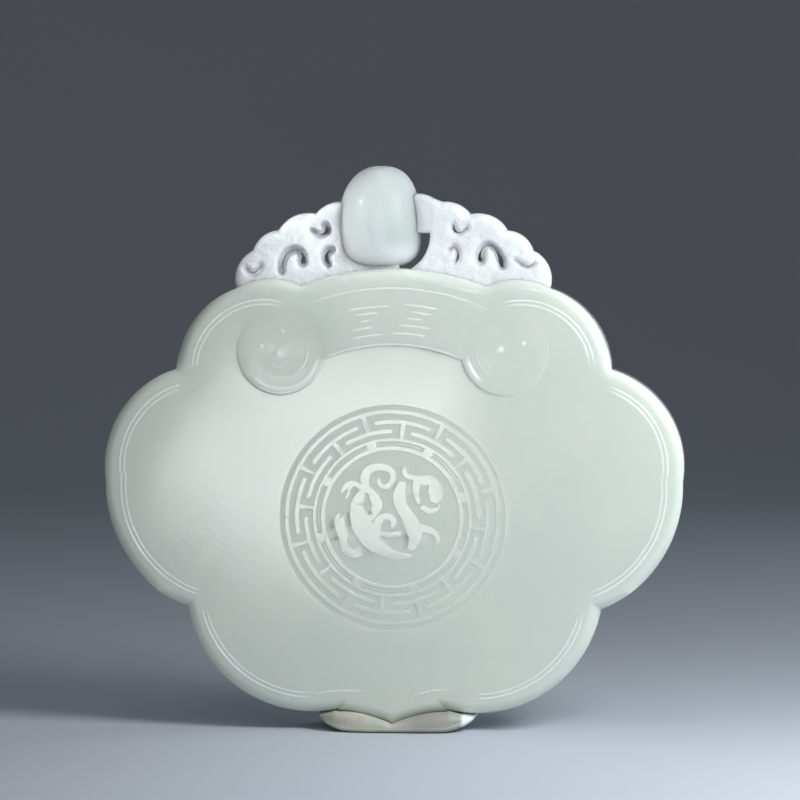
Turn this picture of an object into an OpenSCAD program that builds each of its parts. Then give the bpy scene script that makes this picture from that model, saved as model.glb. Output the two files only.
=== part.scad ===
// A carved white jade pendant of the ruyi lock kind, standing on its low display pad.
// Millimetres. X runs across the pendant, Z is up, and its carved front faces -Y.

/* [Plaque] */
// Width across the two side lobes
plaque_w = 56; // [54:0.5:60]
// Thickness between the flat faces
plaque_t = 6.8; // [6:0.1:7.6]
// Rounding of the outer edge
edge_r = 1.1; // [0.8:0.1:1.6]
// Radius of the shallow arch along the plaque's top, about the medallion's centre
arch_r = 24; // [23.7:0.1:24.2]

/* [Carving] */
// Height of the raised ruyi head above the face
head_h = 0.2; // [0.1:0.05:0.4]
// Height of the thin lines above what they lie on
line_h = 0.12; // [0.05:0.01:0.25]
// Width of each thin line
line_w = 0.16; // [0.1:0.01:0.25]
// Distance from the outline to the outer rim line
rim_inset = 1.5; // [1.2:0.1:1.8]
// Distance between the two rim lines
rim_gap = 0.42; // [0.36:0.02:0.6]
// Radius of each scroll of the ruyi head
scroll_r = 4.2; // [3.6:0.1:4.4]
// Radius of the round medallion
medallion_r = 10.9; // [10:0.1:12]
// Depth of the medallion's sunk ground
ground_d = 0.1; // [0.05:0.01:0.2]
// Width of the lines of the medallion's key fret
fret_w = 0.34; // [0.2:0.02:0.4]

/* [Crown] */
// Thickness of the pierced crown
crown_t = 4; // [3:0.1:5]
// Width of the crown between its two outer ends
crown_w = 30.5; // [30:0.1:31.2]
// Offset of the crown from the middle, as the hand carving left it
crown_x = -0.15; // [-0.3:0.05:0]
// Half the width of the cut of the hooked piercings
pierce_r = 0.42; // [0.3:0.02:0.48]

/* [Bead and pin] */
// Diameter of the bead
bead_d = 8; // [7.4:0.1:8.6]
// Height of the bead
bead_h = 9.75; // [9:0.05:11]
// Offset of the bead from the middle
bead_x = -1.45; // [-1.7:0.05:0]
// Diameter of the hidden pin
pin_d = 0.8; // [0.6:0.05:1]
// Length of the pin that enters each shoulder of the crown
pin_grip = 1.2; // [0.8:0.1:1.4]

/* [Display pad] */
// Width of the pad
pad_w = 15.4; // [13:0.1:20]
// Depth of the pad from front to back
pad_depth = 10; // [9:0.1:16]
// Length of the pad's flat underside, between its upturned ends
pad_sole = 10.6; // [9:0.1:12]
// Height of the pad along its middle, before the plaque's seat is cut into it
pad_h = 2.3; // [2:0.1:3]
// Height of the pad's front and back edges
pad_edge = 0.9; // [0.7:0.05:1.3]
// Height at which the pad's upturned ends reach its full width
pad_lift = 1.2; // [1:0.05:1.5]
// Thickness of the pad under the lowest point of the plaque
pad_floor = 0.45; // [0.3:0.05:1]
// Offset of the pad from the middle
pad_x = 0.35; // [0:0.05:1]

/* [Fits] */
// Gap between the bead and its seat in the crown
bead_gap = 0.12; // [0.08:0.01:0.2]
// Gap between the pin and its bores
pin_gap = 0.1; // [0.05:0.01:0.15]
// Gap between the plaque and its seat in the pad
seat_gap = 0.1; // [0.05:0.01:0.2]

/* [Hidden] */

stone_white = [0.84, 0.87, 0.84];
bead_white = [0.82, 0.85, 0.84];
pin_white = [0.78, 0.78, 0.74];
pad_white = [0.76, 0.78, 0.74];
round_fn = 96;
small_fn = 32;
// Bevels that make up a rounded edge
edge_steps = 4;
// How far a shape that is joined to another reaches into it
bite = 0.3;

half_w = plaque_w / 2;
half_t = plaque_t / 2;
// Height of the plaque's lowest point above the floor
plaque_z = pad_floor + seat_gap;

// Round lobes of one half, as shares of half_w: [across, up, radius]
LOBES = [
    [0.652, 0.895, 0.348],
    [0.549, 0.820, 0.447],
    [0.283, 0.483, 0.441],
    [0.443, 1.216, 0.307],
    [0.425, 1.309, 0.230],
];
// The disc that fills the middle
middle_z = 0.659 * half_w;
middle_r = 0.618 * half_w;
// Arcs of the rim lines: [lobe, first angle, last angle], from +X round to +Z
RIM_ARCS = [
    [0, 35, 62],
    [1, -72, 35],
    [2, -108, -13],
    [3, 5, 106],
];
medallion_z = 0.72 * half_w;

// Pointed cusp at the bottom, cut from below by two big rounds that meet at its tip
cusp_half = 0.193 * half_w;
cusp_top = 0.107 * half_w;
cusp_round_r = 0.5 * half_w;
cusp_round_x = 0.211 * half_w;
cusp_round_z = -sqrt(pow(cusp_round_r, 2) - pow(cusp_round_x, 2));
cusp_t = plaque_t - edge_r;

// The ruyi head: a band concentric with the medallion, and a scroll at each end
band_inner = 0.692 * arch_r;
band_outer = 0.921 * arch_r;
band_half_angle = 30;
// Half angles of the ridge along the band's lower edge and of the line along its upper edge
ridge_half_angle = 22;
line_half_angle = 21;
ridge_w = 0.021 * arch_r;
scroll_angle = 34;
scroll_at = (band_inner + band_outer) / 2;
// Rings on each scroll, as shares of scroll_r: [inner, outer]
SCROLL_RINGS = [
    [0.00, 0.17],
    [0.55, 0.63],
    [0.80, 0.92],
];
// Bars of the key fret on one half of the band: [radius as a share of arch_r, nearest
// and farthest angle from the middle]
BARS = [
    [0.850, 2.2, 12.6],
    [0.825, 5.0, 10.0],
    [0.798, 5.0, 9.0],
    [0.771, 3.5, 11.3],
    [0.742, 2.0, 13.0],
];

// Rings of the medallion that stay level with the face, as shares of medallion_r
MEDALLION_RINGS = [
    [0.921, 0.960],
    [0.680, 0.703],
    [0.651, 0.663],
    [0.598, 0.632],
];
// Key fret of T shapes: [first angle, arc's middle radius as a share of medallion_r, stem's
// other end as a share, half the arc's angle]
FRET = [
    [38.3, 0.849, 0.69, 17.5],
    [16.2, 0.766, 0.94, 16.4],
];
fret_count = 8;
// Bridges across the slot between the two middle rings
bridge_angle = 16.2;
bridge_w = 0.072 * medallion_r;
bridge_from = 0.62 * medallion_r;
bridge_to = 0.69 * medallion_r;
// Strokes of the coiled dragon, as shares of medallion_r: [across, up, radius, first angle,
// last angle]
DRAGON = [
    [-0.115, 0.345, 0.118, -4, 176],
    [-0.052, 0.342, 0.060, -172, 5],
    [-0.130, 0.020, 0.250, 122, 235],
    [-0.200, 0.100, 0.105, -80, 84],
    [-0.360, 0.225, 0.078, 15, 190],
    [-0.220, -0.050, 0.270, 163, 250],
    [-0.055, -0.060, 0.070, -15, 160],
    [-0.020, -0.130, 0.125, 152, 218],
    [0.160, 0.180, 0.100, 85, 205],
    [0.320, 0.240, 0.275, 203, 250],
    [0.130, -0.170, 0.120, -80, 56],
    [0.155, 0.405, 0.050, 165, 285],
    [0.260, 0.200, 0.150, -25, 118],
    [0.262, 0.190, 0.055, 95, 272],
    [0.300, 0.170, 0.105, -105, -15],
    [0.000, -0.050, 0.290, 212, 335],
    [0.330, -0.170, 0.090, -40, 128],
];
dragon_w = 0.046 * medallion_r;
// Its round head
skull_x = 0.285 * medallion_r;
skull_z = 0.270 * medallion_r;
skull_r = 0.072 * medallion_r;

// Heights in the crown's tables count from the top of the arch
crown_z = medallion_z + arch_r;
// Bumps of one half of the crown's outline: [across as a share of the crown's half width,
// up and radius as shares of half_w]
BUMPS = [
    [0.799, -0.040, 0.111],
    [0.714, 0.032, 0.098],
    [0.539, 0.075, 0.114],
    [0.331, 0.125, 0.104],
    [0.156, 0.164, 0.093],
];
crown_half = crown_w / 2;
crown_root = -0.137 * half_w;
// Comma piercings of one half: [across as a share of the crown's half width, up as a share of
// half_w, first angle, last angle, which end is the fat one]
COMMAS = [
    [0.442, 0.129, -176, -4, 1],
    [0.406, 0.041, 95, 265, 1],
    [0.862, 0.009, -176, -4, 0],
];
comma_r = 0.042 * crown_half;
comma_cut = 0.76 * pierce_r;
comma_fat = 1.3;
// The hooked piercing of one half, with its inner and outer leg
hook_x = 0.62 * crown_half;
hook_z = 0.029 * half_w;
hook_r = 0.0665 * crown_half;
hook_legs = [0.0325 * crown_half, 0.0747 * crown_half];

// Height of the bead's widest ring, as a share of its height, and its fullness above and below
bead_waist = 0.36;
bead_power = 2.4;
foot_power = 3.2;
bead_steps = 28;
bead_r = bead_d / 2;
bead_z = crown_z + bead_gap;
pin_r = pin_d / 2;
pin_z = bead_z + 0.51 * bead_h;
pin_l = 2 * (bead_r + bead_gap + pin_grip);
bore_r = pin_r + pin_gap;

// Height of the axis of the long round that turns up the pad's ends
pad_axis = (pow(pad_w / 2, 2) - pow(pad_sole / 2, 2) + pow(pad_lift, 2)) / (2 * pad_lift);
pad_round = sqrt(pow(pad_axis, 2) + pow(pad_sole / 2, 2));
// Radius of its arch from front to back
arch_back = (pow(pad_depth / 2, 2) + pow(pad_h - pad_edge, 2)) / (2 * (pad_h - pad_edge));

// See-through crescent beside the bead
crescent_r = 0.94 * bead_r;
crescent_x = bead_x + 0.3 * bead_r;
crescent_z = bead_z + 0.315 * bead_h;
crescent_top = bead_z + 0.335 * bead_h;

// Four-sided fan from the origin that covers the angles from first to last, up to a half turn
module wedge(reach, first, last) {
    middle = (first + last) / 2;
    polygon([
        [0, 0],
        reach * [cos(first), sin(first)],
        reach * [cos(middle), sin(middle)],
        reach * [cos(last), sin(last)],
    ]);
}

module ring(inner, outer) {
    difference() {
        circle(outer, $fn = round_fn);
        if (inner > 0) circle(inner, $fn = round_fn);
    }
}

module sector(inner, outer, first, last) {
    intersection() {
        ring(inner, outer);
        wedge(2 * outer, first, last);
    }
}

// An arc of the given middle radius and width
module stroke(r, w, first, last) {
    sector(r - w / 2, r + w / 2, first, last);
}

// A flat shape drawn in X and Z stands up and fills from y0 to y1
module upright(y0, y1) {
    translate([0, y1, 0]) rotate([90, 0, 0]) linear_extrude(y1 - y0) children();
}

// A flat shape raised by h on the front face
module raised(h) {
    upright(-half_t - h, -half_t + bite) children();
}

module both_sides() {
    children();
    mirror([1, 0, 0]) children();
}

// Disc with rounded edges, standing in the XZ plane about the origin
module round_disc(r, t, edge) {
    rotate([90, 0, 0]) rotate_extrude($fn = round_fn) polygon(concat(
        [[0, -t / 2]],
        [for (i = [0 : edge_steps]) let (a = 90 * i / edge_steps)
            [r - edge + edge * sin(a), edge - t / 2 - edge * cos(a)]],
        [for (i = [0 : edge_steps]) let (a = 90 * i / edge_steps)
            [r - edge + edge * cos(a), t / 2 - edge + edge * sin(a)]],
        [[0, t / 2]]
    ));
}

module lobe_disc(lobe) {
    translate([lobe[0], 0, lobe[1]] * half_w) round_disc(lobe[2] * half_w, plaque_t, edge_r);
}

// The lobes, the arch and the cusp
module plaque_body() {
    both_sides() for (lobe = LOBES) lobe_disc(lobe);
    translate([0, 0, middle_z]) round_disc(middle_r, plaque_t, edge_r);
    intersection() {
        translate([0, 0, medallion_z]) round_disc(arch_r, plaque_t, edge_r);
        translate([-half_w, -plaque_t, medallion_z]) cube([plaque_w, 2 * plaque_t, plaque_w]);
    }
    upright(-cusp_t / 2, cusp_t / 2) cusp(0);
}

module cusp(grow) {
    difference() {
        translate([-cusp_half, -grow]) square([2 * cusp_half, cusp_top + grow]);
        for (side = [-1, 1])
            translate([side * cusp_round_x, cusp_round_z])
                circle(cusp_round_r - grow, $fn = round_fn);
    }
}

// Lower part of the plaque's outline, grown by grow for the seat
module plaque_outline(grow) {
    both_sides() for (lobe = LOBES)
        translate([lobe[0], lobe[1]] * half_w) circle(lobe[2] * half_w + grow, $fn = round_fn);
    translate([0, middle_z]) circle(middle_r + grow, $fn = round_fn);
    cusp(grow);
}

module rim_lines() {
    both_sides() for (arc = RIM_ARCS, i = [0, 1])
        translate([LOBES[arc[0]][0] * half_w, LOBES[arc[0]][1] * half_w])
            stroke(LOBES[arc[0]][2] * half_w - rim_inset - i * rim_gap, line_w, arc[1], arc[2]);
}

// Places its children at the centre of each scroll
module at_scrolls() {
    both_sides() rotate(90 - scroll_angle) translate([scroll_at, 0]) children();
}

module head_outline() {
    sector(band_inner, band_outer, 90 - band_half_angle, 90 + band_half_angle);
    at_scrolls() circle(scroll_r, $fn = round_fn);
}

module head_lines() {
    stroke(band_inner + ridge_w / 2, ridge_w, 90 - ridge_half_angle, 90 + ridge_half_angle);
    stroke(band_outer - line_w, line_w, 90 - line_half_angle, 90 + line_half_angle);
    both_sides() for (bar = BARS)
        stroke(bar[0] * arch_r, line_w, 90 - bar[2], 90 - bar[1]);
    at_scrolls() for (band = SCROLL_RINGS) ring(band[0] * scroll_r, band[1] * scroll_r);
}

module ruyi_head() {
    translate([0, 0, medallion_z]) {
        raised(head_h) head_outline();
        raised(head_h + line_h) head_lines();
    }
}

module fret_line(r0, r1) {
    translate([r0, -fret_w / 2]) square([r1 - r0, fret_w]);
}

// All that stays level with the face inside the medallion
module medallion_pattern() {
    for (band = MEDALLION_RINGS) ring(band[0] * medallion_r, band[1] * medallion_r);
    for (k = [0 : fret_count - 1], t = FRET) rotate(t[0] + k * 360 / fret_count) {
        stroke(t[1] * medallion_r, fret_w, -t[3], t[3]);
        fret_line(min(t[1], t[2]) * medallion_r, max(t[1], t[2]) * medallion_r);
    }
    for (k = [0 : fret_count - 1]) rotate(bridge_angle + k * 360 / fret_count)
        translate([bridge_from, -bridge_w / 2]) square([bridge_to - bridge_from, bridge_w]);
    dragon();
}

module dragon() {
    for (s = DRAGON)
        translate([s[0], s[1]] * medallion_r)
            stroke(s[2] * medallion_r, dragon_w, s[3], s[4]);
    translate([skull_x, skull_z]) circle(skull_r, $fn = small_fn);
}

module medallion_ground() {
    translate([0, 0, medallion_z]) upright(-half_t - bite, -half_t + ground_d) difference() {
        circle(medallion_r, $fn = round_fn);
        medallion_pattern();
    }
}

module crown_outline() {
    both_sides() {
        for (bump = BUMPS)
            translate([bump[0] * crown_half, bump[1] * half_w])
                circle(bump[2] * half_w, $fn = round_fn);
        polygon(concat(
            [[-bite, crown_root], [BUMPS[0][0] * crown_half, crown_root]],
            [for (bump = BUMPS) [bump[0] * crown_half, bump[1] * half_w]],
            [[-bite, BUMPS[4][1] * half_w]]
        ));
    }
}

module comma(first, last, fat_end) {
    stroke(comma_r, 2 * comma_cut, first, last);
    for (end = [0, 1])
        rotate(end == 1 ? last : first) translate([comma_r, 0])
            circle(end == fat_end ? comma_fat * comma_cut : comma_cut, $fn = small_fn);
}

module hook() {
    stroke(hook_r, 2 * pierce_r, 0, 180);
    for (side = [0, 1]) translate([(2 * side - 1) * hook_r, 0]) {
        translate([-pierce_r, -hook_legs[side]]) square([2 * pierce_r, hook_legs[side] + bite / 2]);
        translate([0, -hook_legs[side]]) circle(pierce_r, $fn = small_fn);
    }
}

module piercings() {
    both_sides() {
        for (c = COMMAS)
            translate([c[0] * crown_half, c[1] * half_w]) comma(c[2], c[3], c[4]);
        translate([hook_x, hook_z]) hook();
    }
}

// Half width of the bead at height z above its lowest point
function bead_half(z) =
    let (reach = z < bead_waist * bead_h ? bead_waist * bead_h : (1 - bead_waist) * bead_h)
    let (t = min(1, abs(z - bead_waist * bead_h) / reach))
    let (power = z < bead_waist * bead_h ? foot_power : bead_power)
    bead_r * pow(1 - pow(t, power), 1 / power);

// Right half of the bead's outline, stepped so that its ends are as fine as its side
function bead_profile() = [
    for (i = [0 : bead_steps])
        let (z = bead_h * (1 - cos(180 * i / bead_steps)) / 2)
        [bead_half(z), z]
];

// The bead's outline grown by its gap, about its own axis
module bead_section() {
    polygon([for (p = bead_profile())
        [p[0] * (1 + bead_gap / bead_r), p[1] * (1 + 2 * bead_gap / bead_h) - bead_gap]]);
}

// The bead's seat: hollowed to its shape in front, and cut straight out to the back, where
// the bead goes in
module bead_seat() {
    translate([bead_x, 0, bead_z]) {
        rotate_extrude($fn = round_fn) bead_section();
        upright(0, crown_t) both_sides() bead_section();
    }
}

// See-through crescent at the bead's right
module crescent() {
    intersection() {
        translate([crescent_x, crescent_z]) circle(crescent_r, $fn = round_fn);
        translate([bead_x, bead_z - bead_r]) square([2 * bead_r, crescent_top - bead_z + bead_r]);
    }
}

module pin_bore(r, l) {
    translate([bead_x - l / 2, 0, pin_z]) rotate([0, 90, 0]) cylinder(h = l, r = r, $fn = small_fn);
}

module crown() {
    difference() {
        upright(-crown_t / 2, crown_t / 2) difference() {
            translate([crown_x, crown_z]) crown_outline();
            translate([crown_x, crown_z]) piercings();
            crescent();
        }
        bead_seat();
        pin_bore(bore_r, pin_l + 2 * pin_gap);
    }
}

module plaque() {
    color(stone_white) translate([0, 0, plaque_z]) {
        difference() {
            plaque_body();
            medallion_ground();
        }
        raised(line_h) rim_lines();
        ruyi_head();
        crown();
    }
}

module bead() {
    color(bead_white) translate([0, 0, plaque_z]) difference() {
        translate([bead_x, 0, bead_z]) rotate_extrude($fn = round_fn) polygon(bead_profile());
        pin_bore(bore_r, pin_l);
    }
}

module pin() {
    color(pin_white) translate([0, 0, plaque_z]) pin_bore(pin_r, pin_l);
}

// Low boat shape: a plan with round ends, turned up at both ends and arched from front to back
module pad_boat() {
    intersection() {
        linear_extrude(pad_h) intersection() {
            circle(pad_w / 2, $fn = round_fn);
            square([pad_w, pad_depth], center = true);
        }
        translate([0, pad_w, pad_axis]) rotate([90, 0, 0])
            cylinder(h = 2 * pad_w, r = pad_round, $fn = round_fn);
        translate([-pad_w, 0, pad_h - arch_back]) rotate([0, 90, 0])
            cylinder(h = 2 * pad_w, r = arch_back, $fn = round_fn);
    }
}

// The seat is cut from front to back, so that the whole outline of the plaque shows above it
module pad() {
    color(pad_white) difference() {
        translate([pad_x, 0, 0]) pad_boat();
        translate([0, 0, plaque_z]) upright(-pad_depth, pad_depth) plaque_outline(seat_gap);
    }
}

plaque();
bead();
pin();
pad();
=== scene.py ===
# %% [markdown]
# # A carved white jade pendant on its display pad
#
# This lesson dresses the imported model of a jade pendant: a thick scalloped plaque with a
# ruyi cloud head and a round medallion carved into its face, a thinner pierced crown behind
# its top, an egg-shaped bead in the crown, and the low pad that holds it up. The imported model
# is the frame. Each new piece takes the place of one of its solids, in the same spot and size.

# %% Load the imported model
import math
import bpy
import numpy as np
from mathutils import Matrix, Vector
from mathutils.geometry import delaunay_2d_cdt


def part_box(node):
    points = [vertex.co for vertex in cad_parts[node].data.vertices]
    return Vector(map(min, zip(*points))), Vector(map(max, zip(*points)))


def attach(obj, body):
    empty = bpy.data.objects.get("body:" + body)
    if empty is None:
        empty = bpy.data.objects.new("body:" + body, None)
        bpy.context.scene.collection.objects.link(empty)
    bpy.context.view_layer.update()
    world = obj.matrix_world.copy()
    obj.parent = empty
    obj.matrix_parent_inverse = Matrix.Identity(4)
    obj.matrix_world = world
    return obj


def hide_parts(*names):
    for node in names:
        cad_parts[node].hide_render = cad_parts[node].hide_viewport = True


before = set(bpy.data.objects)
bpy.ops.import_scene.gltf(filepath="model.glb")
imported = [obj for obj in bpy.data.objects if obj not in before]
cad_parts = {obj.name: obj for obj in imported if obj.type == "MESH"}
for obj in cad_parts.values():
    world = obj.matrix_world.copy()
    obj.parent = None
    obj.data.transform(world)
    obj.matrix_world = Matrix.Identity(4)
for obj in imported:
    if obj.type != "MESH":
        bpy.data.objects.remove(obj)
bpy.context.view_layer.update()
MM = 0.001
for name in sorted(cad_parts):
    low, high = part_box(name)
    print(name, "runs from", [round(v / MM, 2) for v in low], "to", [round(v / MM, 2) for v in high], "mm")


def add_mesh(name, verts_mm, faces):
    """A smooth object at the origin, from points in millimetres and faces of their numbers."""
    mesh = bpy.data.meshes.new(name)
    mesh.from_pydata((verts_mm * MM).tolist(), [], faces)
    mesh.polygons.foreach_set("use_smooth", np.ones(len(mesh.polygons), bool))
    piece = bpy.data.objects.new(name, mesh)
    bpy.context.scene.collection.objects.link(piece)
    return piece


# %% [markdown]
# ## The camera
#
# The photograph looks at the carved face a little from the right and a little from above,
# from far enough away that hardly any perspective shows. A long lens at that angle does the
# same, and it looks at the point that sits in the middle of the picture.

# %% Camera
def add_camera(target_mm, azimuth, elevation, distance_mm, width_mm):
    """A camera on a sphere round the target. Its lens makes width_mm fill the picture there."""
    az, el = math.radians(azimuth), math.radians(elevation)
    out = Vector((math.sin(az) * math.cos(el), -math.cos(az) * math.cos(el), math.sin(el)))
    data = bpy.data.cameras.new("camera")
    camera = bpy.data.objects.new("camera", data)
    bpy.context.scene.collection.objects.link(camera)
    camera.location = (Vector(target_mm) + distance_mm * out) * MM
    camera.rotation_euler = out.to_track_quat("Z", "Y").to_euler()
    data.sensor_width = 36
    data.lens = 36 * distance_mm / width_mm
    data.clip_start, data.clip_end = 0.01, 20
    bpy.context.scene.camera = camera
    return camera


camera = add_camera(target_mm=(0.46, 0, 31.9), azimuth=5, elevation=3, distance_mm=430, width_mm=77.6)
print("camera with a", round(camera.data.lens), "mm lens")

# %% [markdown]
# ## Floor, backdrop and light
#
# White jade needs something darker behind it, or its pale rim is lost. The floor and the
# backdrop are one sheet that rises in a wide curve behind the pendant. Polished stone shows
# its lights as reflections, so two panes low in front hang where the camera sees them mirrored:
# one left of the face's middle, and a small one in the left lobe. A light on the right and one
# behind the right shoulder whiten that side and its rim. A wide one above fills the rest, a
# small one high in front makes the bright points on the domes, and a narrow beam from the left
# reaches the bead alone.

# %% Floor and backdrop
def sweep_sheet(width, profile):
    """Carries a profile of (depth, height) points along X: point (u, v) = (u, depth(v), height(v))."""
    u = np.linspace(-width / 2, width / 2, 3)
    p = np.array(profile)
    x, y = np.meshgrid(u, p[:, 0], indexing="ij")
    z = np.broadcast_to(p[:, 1], x.shape)
    i, j = np.meshgrid(np.arange(len(u) - 1), np.arange(len(p) - 1), indexing="ij")
    a = (i * len(p) + j).ravel()
    faces = np.stack([a, a + len(p), a + len(p) + 1, a + 1], -1)
    return add_mesh("floor", np.stack([x, y, z], -1).reshape(-1, 3), faces.tolist())


SHEET_W, SHEET_FRONT, SHEET_TOP = 3000, -900, 1600
BEND_Y, BEND_R = 300, 400
turn = np.radians(np.linspace(0, 90, 25))
bend = [(BEND_Y + BEND_R * math.sin(a), BEND_R - BEND_R * math.cos(a)) for a in turn]
floor = sweep_sheet(SHEET_W, [(SHEET_FRONT, 0)] + bend + [(BEND_Y + BEND_R, SHEET_TOP)])
print("floor and backdrop in", len(floor.data.polygons), "faces")

# %% Lights
def add_light(name, at_mm, aim_mm, size_mm, power, color=(1, 1, 1), spread=180):
    """A rectangular soft light of size_mm, facing the point aim_mm. A small spread, in degrees,
    keeps it to a narrow beam."""
    data = bpy.data.lights.new(name, "AREA")
    data.shape = "RECTANGLE"
    data.size, data.size_y = size_mm[0] * MM, size_mm[1] * MM
    data.energy, data.color, data.spread = power, color, math.radians(spread)
    light = bpy.data.objects.new(name, data)
    bpy.context.scene.collection.objects.link(light)
    light.location = Vector(at_mm) * MM
    light.rotation_euler = (Vector(at_mm) - Vector(aim_mm)).to_track_quat("Z", "Y").to_euler()
    light.visible_camera = False
    return light


add_light("window", (-22.2, -180, 15.5), (-22.2, 0, 15.5), (35.4, 29), 0.0184)
add_light("side_pane", (-46.0, -180, 11), (-46.0, 0, 11), (6.4, 14), 0.0016)
add_light("right_side", (82, -62, 84), (10, 0, 30), (60, 60), 0.141, (0.94, 0.97, 1))
add_light("back_right", (200, 150, 120), (10, 0, 30), (120, 200), 0.125, (0.78, 0.89, 1))
add_light("above", (-60, -200, 420), (0, 0, 28), (260, 260), 0.13)
add_light("spark", (30, -400, 165), (0, 0, 40), (20, 20), 0.06)
add_light("bead_beam", (-95, -60, 90), (-3.2, 0, 47.6), (10, 10), 0.00027, spread=6)
world = bpy.data.worlds.new("studio")
bpy.context.scene.world = world
world.use_nodes = True
sky = world.node_tree.nodes["Background"].inputs
sky["Color"].default_value = (0.90, 0.95, 1, 1)
sky["Strength"].default_value = 0.088
bpy.context.scene.view_settings.view_transform = "Standard"

# %% [markdown]
# ## Writing shaders as sums
#
# A finish is easier to read as a formula than as a web of nodes. The class below wraps one
# shader socket. Adding or multiplying two of them adds the Math node that does it, also when
# the number comes first, as in 1 - mask. Every other node comes from the one method `node`.

# %% Shader values that can be added and multiplied
class Value:
    """One output socket of a material, which answers to +, - and *."""

    def __init__(self, finish, socket):
        self.finish, self.socket = finish, socket

    def math(self, operation, *values):
        return self.finish.node("ShaderNodeMath", {"operation": operation}, *values)

    def __add__(self, other):
        return self.math("ADD", self, other)

    def __radd__(self, other):
        return self.math("ADD", other, self)

    def __sub__(self, other):
        return self.math("SUBTRACT", self, other)

    def __rsub__(self, other):
        return self.math("SUBTRACT", other, self)

    def __mul__(self, other):
        return self.math("MULTIPLY", self, other)

    def __rmul__(self, other):
        return self.math("MULTIPLY", other, self)

    def step(self, low, high):
        """0 below low, 1 above high, with a soft change between them."""
        settings = {"interpolation_type": "SMOOTHSTEP"}
        return self.finish.node("ShaderNodeMapRange", settings, self, low, high, 0.0, 1.0)


class Finish:
    """A material with a Principled shader, and one method that adds any node to it."""

    def __init__(self, name, **constants):
        self.material = bpy.data.materials.new(name)
        self.material.use_nodes = True
        self.tree = self.material.node_tree
        self.shader = self.tree.nodes["Principled BSDF"]
        self.set(**constants)

    def node(self, kind, settings, *values, out=0, **named):
        """Adds a node, sets its settings first, then sets or links its inputs in order or by name."""
        node = self.tree.nodes.new(kind)
        for key, value in settings.items():
            setattr(node, key, value)
        for key, value in list(enumerate(values)) + list(named.items()):
            self.feed(node.inputs[key if isinstance(key, int) else key.replace("_", " ")], value)
        return Value(self, node.outputs[out])

    def feed(self, socket, value):
        if isinstance(value, Value):
            self.tree.links.new(value.socket, socket)
        else:
            socket.default_value = value

    def set(self, **named):
        """Sets or links sockets of the Principled shader, with _ for a space in a name."""
        for key, value in named.items():
            self.feed(self.shader.inputs[key.replace("_", " ")], value)

    def place(self, scale=(1, 1, 1), turn=(0, 0, 0)):
        """Object coordinates in millimetres, stretched by scale after a turn in degrees."""
        at = self.node("ShaderNodeTexCoord", {}, out=3)
        turned = self.node("ShaderNodeMapping", {"vector_type": "POINT"}, at,
                           Rotation=[math.radians(a) for a in turn])
        return self.node("ShaderNodeVectorMath", {"operation": "MULTIPLY"}, turned,
                         [s / MM for s in scale])

    def part(self, at, axis):
        """One coordinate of a place: 0 across, 1 in depth, 2 up."""
        return self.node("ShaderNodeSeparateXYZ", {}, at, out=axis)

    def painted(self, name):
        """The number that the mesh carries at each point, as the attribute of that name."""
        return self.node("ShaderNodeAttribute", {"attribute_name": name}, out=2)

    def noise(self, at, scale, detail=2.0, rough=0.5):
        """Clouds between 0 and 1, as many to the millimetre as scale says."""
        return self.node("ShaderNodeTexNoise", {"normalize": True}, Vector=at, Scale=scale,
                         Detail=detail, Roughness=rough)

    def mix(self, share, color_a, color_b):
        """Colour a where share is 0, colour b where it is 1."""
        node = self.tree.nodes.new("ShaderNodeMix")
        node.data_type = "RGBA"
        self.feed(node.inputs[0], share)
        for socket, color in ((node.inputs[6], color_a), (node.inputs[7], color_b)):
            self.feed(socket, color if isinstance(color, Value) else (*color, 1))
        return Value(self, node.outputs[2])

    def bump(self, height, distance):
        """Turns a height between 0 and 1, worth distance in millimetres, into a normal."""
        return self.node("ShaderNodeBump", {}, Height=height, Distance=distance * MM, Strength=1.0)


print("ready:", Value.__name__, "and", Finish.__name__)

# %% [markdown]
# ## Jade
#
# Nephrite is a felt of fine fibres. Light goes in, scatters and comes out a few millimetres
# away, so its shadows are soft and its thin edges glow: that is subsurface scattering with a
# radius of a millimetre or two. Its polish is waxy rather than glassy. The ground inside the
# medallion and the left scroll is left matte by the tool, and the polished figures stand out
# from it only because they mirror the light. The mesh carries that difference as the attribute
# `matte`, 1 on the ground and 0 on the polish. As `line` it carries a painted highlight, which
# whitens the colour of the thin ridges and the small domes. Hand polishing leaves fine slanting
# hairlines.
#
# The bead is clearer stone, in which light spreads further. Its colour is painted lighter on the
# left, which the lamps leave in shade, and darker on the right, where the lamp on the right falls.
# Its foot is painted as white as the crown, as painted light against the shade under it.

# %% Jade finishes
def jade(name, depth_mm):
    """Jade without its colour yet, and its coordinates: depth_mm is how far light spreads in it."""
    stone = Finish(name, Subsurface_Weight=1.0, Subsurface_Radius=(1.0, 1.1, 1.0),
                   Subsurface_Scale=depth_mm * MM, Specular_IOR_Level=0.5, IOR=1.61)
    return stone, stone.place()


stone, at = jade("plaque_jade", 1.6)
clouds = stone.noise(at, 0.09, 3.0, 0.55).step(0.40, 0.66)
fibres = stone.noise(at, 0.55, 4.0, 0.6).step(0.45, 0.75)
color = stone.mix(clouds * 0.8 + fibres * 0.2, (0.67, 0.72, 0.66), (0.71, 0.745, 0.675))
hairs = stone.noise(stone.place((1, 1, 0.12), (0, 52, 0)), 5.0, 2.0, 0.6)
grain = stone.noise(at, 5.5, 2.0, 0.6)
speckle = stone.noise(at, 3.4, 3.0, 0.65)
matte, line = stone.painted("matte"), stone.painted("line")
# Painted highlight: where `line` is 1, along the thin ridges and on the small domes, the colour is whitened
# to stand for glints on their crests.
stone.set(Base_Color=stone.mix(line * 0.75, color, (0.92, 0.95, 0.93)),
          Roughness=0.08 + hairs.step(0.35, 0.8) * 0.08 + matte * 0.36 + line * 0.25,
          Normal=stone.bump(hairs * 0.5 + grain * 0.25 + matte * speckle * 3.2, 0.012))
PLAQUE_JADE = stone.material

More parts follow.
